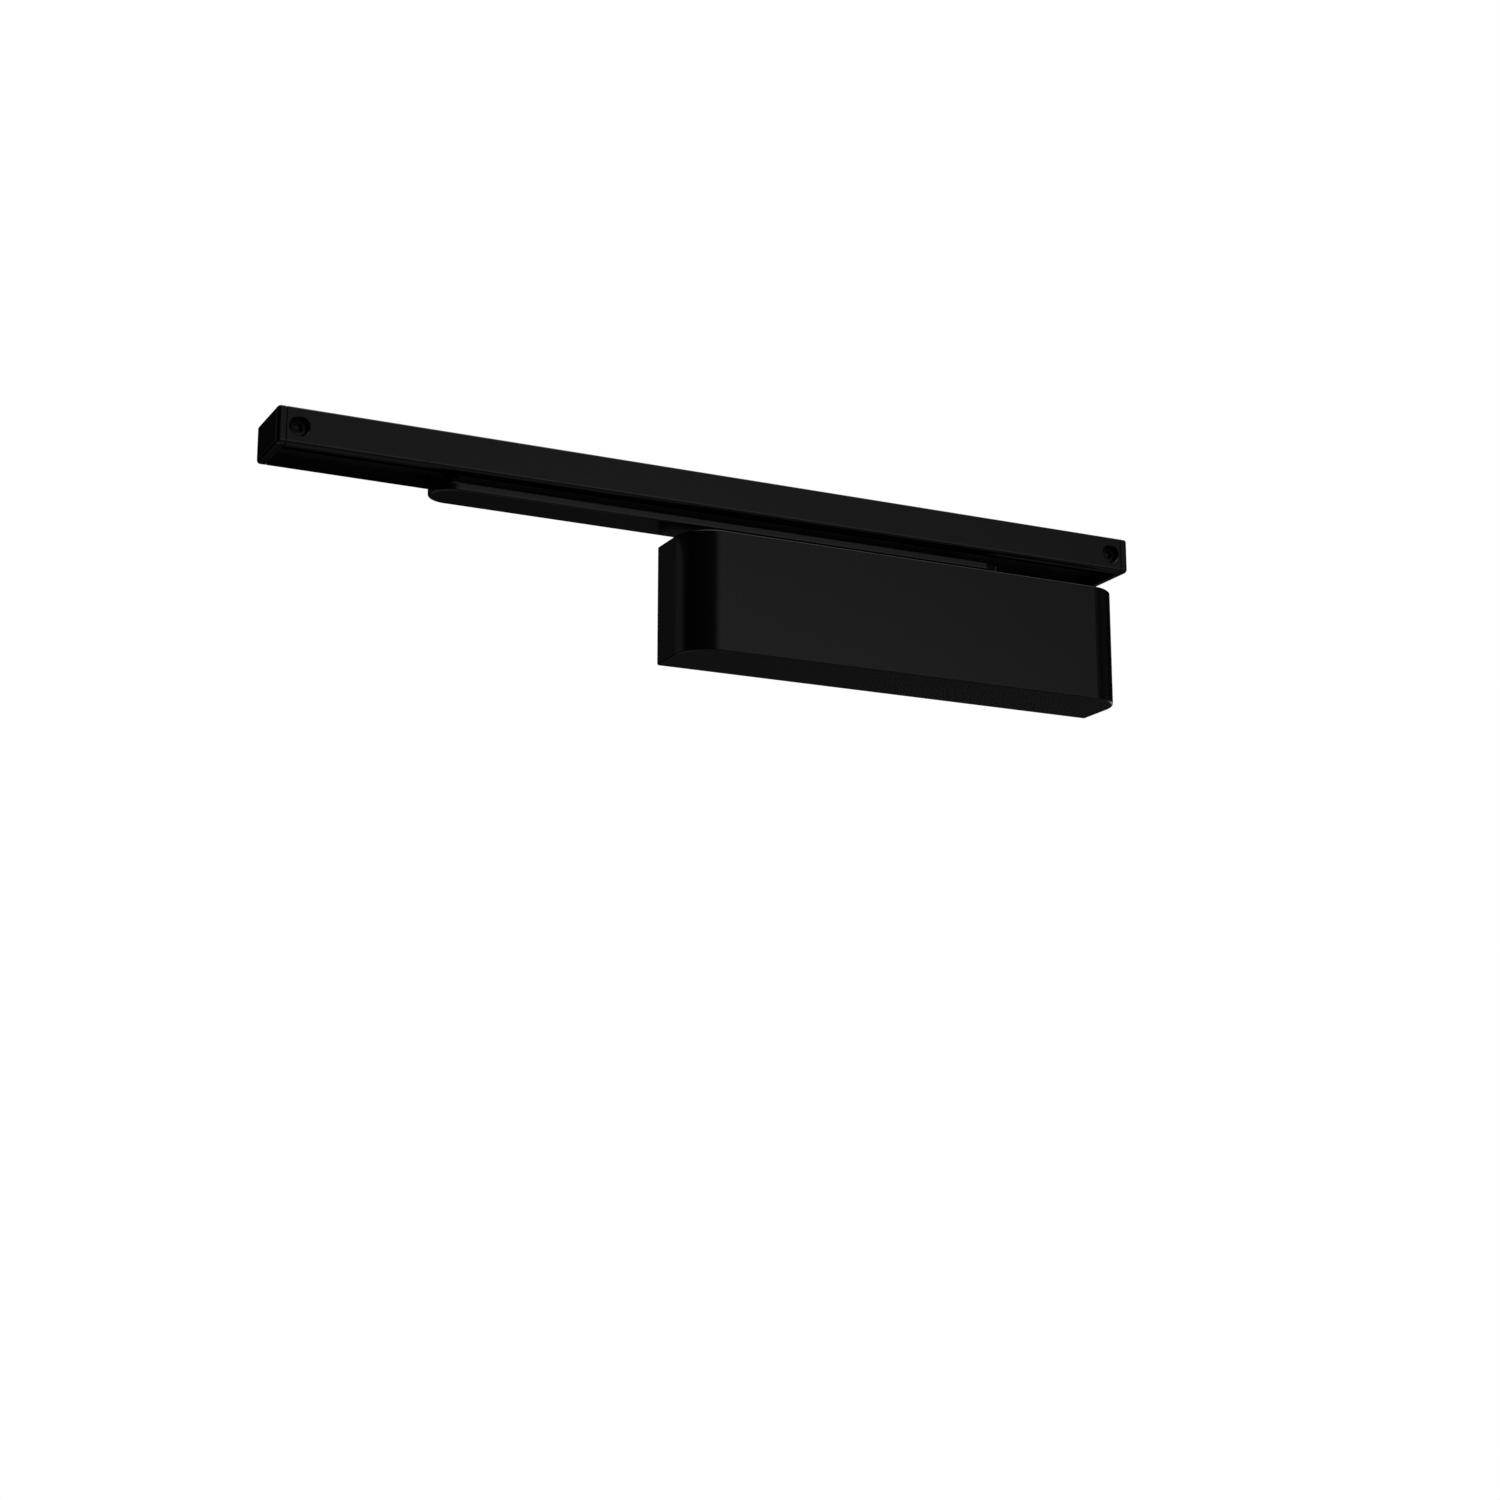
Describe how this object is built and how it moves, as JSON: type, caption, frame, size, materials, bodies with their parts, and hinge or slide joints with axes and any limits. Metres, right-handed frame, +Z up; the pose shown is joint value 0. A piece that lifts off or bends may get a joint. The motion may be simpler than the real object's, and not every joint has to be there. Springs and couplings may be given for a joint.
{
  "type": "door closer",
  "caption": "Slim overhead hydraulic door closer with a rounded box cover, one flat slide arm and a guide rail, shown closed; rack-and-pinion mechanism inside.",
  "frame": {"origin": "centre of the closer body's four fixing holes, on the door-face plane", "axes": "+X to the right seen from the room, along the rail; +Y into the door; +Z up"},
  "size_m": [0.455, 0.05, 0.0895],
  "materials": {
    "cover_paint": "satin black powder coat",
    "arm_paint": "satin black paint on steel",
    "rail_paint": "satin black powder coat on extrusion",
    "cap_plastic": "moulded black plastic",
    "black_screw": "black oxide",
    "zinc_plate": "zinc plated",
    "cast_aluminium": "die cast and machined",
    "steel": "machined",
    "valve_brass": "turned",
    "bronze": "sintered bronze",
    "block_plastic": "black acetal",
    "seal_rubber": "nitrile rubber"
  },
  "bodies": {
    "closer_body": {"backplate": "zinc_plate", "housing": "cast_aluminium", "housing_screws": "steel", "cover_clip_left": "steel", "cover_clip_right": "steel", "end_plug_spring": "steel", "end_plug_damping": "steel", "end_plug_seal_spring": "seal_rubber", "end_plug_seal_damping": "seal_rubber", "adjuster_seal": "seal_rubber", "bearing_top": "bronze", "bearing_bottom": "bronze", "shaft_seal_top": "seal_rubber", "shaft_seal_bottom": "seal_rubber", "bearing_cap_top": "steel", "bearing_cap_bottom": "steel", "oil_filler_plug": "steel", "closing_spring": "steel"},
    "lift_off_cover": {"cover": "cover_paint"},
    "arm_and_spindle": {"slide_arm": "arm_paint", "pinion_shaft": "steel", "arm_screw": "black_screw", "slide_pin": "black_screw", "pin_clip": "steel"},
    "piston_group": {"piston": "steel", "piston_seal": "seal_rubber", "check_valve_ball": "steel", "check_valve_plug": "steel"},
    "block_group": {"slide_block": "block_plastic", "slide_bush": "bronze"},
    "rail_group": {"rail_profile": "rail_paint", "rail_end_cap_left": "cap_plastic", "rail_end_cap_right": "cap_plastic", "rail_screws": "black_screw"},
    "adjuster_screw": {"tension_adjuster": "steel"},
    "seat_plate": {"spring_seat": "steel"},
    "closing_valve": {"closing_speed_valve": "valve_brass", "closing_speed_valve_seal": "seal_rubber"},
    "latching_valve": {"latching_speed_valve": "valve_brass", "latching_speed_valve_seal": "seal_rubber"},
    "backcheck_screw": {"backcheck_valve": "valve_brass", "backcheck_valve_seal": "seal_rubber"}
  },
  "joints": [
    {"name": "arm_swing", "type": "hinge", "parent": "closer_body", "child": "arm_and_spindle", "pos_m": [0.04665, -0.0175, 0.02], "axis": [0, 0, -1], "range_deg": [0, 165], "stiffness_Nm_per_rad": 4, "springref_deg": -171.89},
    {"name": "piston_slide", "type": "slide", "parent": "closer_body", "child": "piston_group", "axis": [-1, 0, 0], "range_m": [0, 0.02161], "deforming": ["closing_spring"]},
    {"name": "block_pivot", "type": "hinge", "parent": "arm_and_spindle", "child": "block_group", "pos_m": [-0.23635, -0.0175, 0.0505], "axis": [0, 0, 1], "range_deg": [-30, 90]},
    {"name": "rail_travel", "type": "slide", "parent": "block_group", "child": "rail_group", "axis": [1, 0, 0], "range_m": [-0.326, 0.048]},
    {"name": "cover_lift", "type": "slide", "parent": "closer_body", "child": "lift_off_cover", "axis": [0, -1, 0], "range_m": [0, 0.05]},
    {"name": "adjuster_turn", "type": "hinge", "parent": "closer_body", "child": "adjuster_screw", "pos_m": [-0.098, -0.0175, 0], "axis": [1, 0, 0], "range_deg": [0, 2160]},
    {"name": "seat_travel", "type": "slide", "parent": "closer_body", "child": "seat_plate", "axis": [1, 0, 0], "range_m": [0, 0.012], "deforming": ["closing_spring"]},
    {"name": "closing_speed_turn", "type": "hinge", "parent": "closer_body", "child": "closing_valve", "pos_m": [0.1, -0.027, 0.017], "axis": [1, 0, 0], "range_deg": [0, 720]},
    {"name": "latching_speed_turn", "type": "hinge", "parent": "closer_body", "child": "latching_valve", "pos_m": [0.1, -0.027, -0.017], "axis": [1, 0, 0], "range_deg": [0, 720]},
    {"name": "backcheck_turn", "type": "hinge", "parent": "closer_body", "child": "backcheck_screw", "pos_m": [0.1, -0.0085, 0.017], "axis": [1, 0, 0], "range_deg": [0, 720]}
  ],
  "couplings": [
    {"joint": "piston_slide", "follows": "arm_swing", "m_per_rad": 0.0075},
    {"joint": "adjuster_turn", "follows": "seat_travel", "rad_per_m": 3141.6}
  ]
}
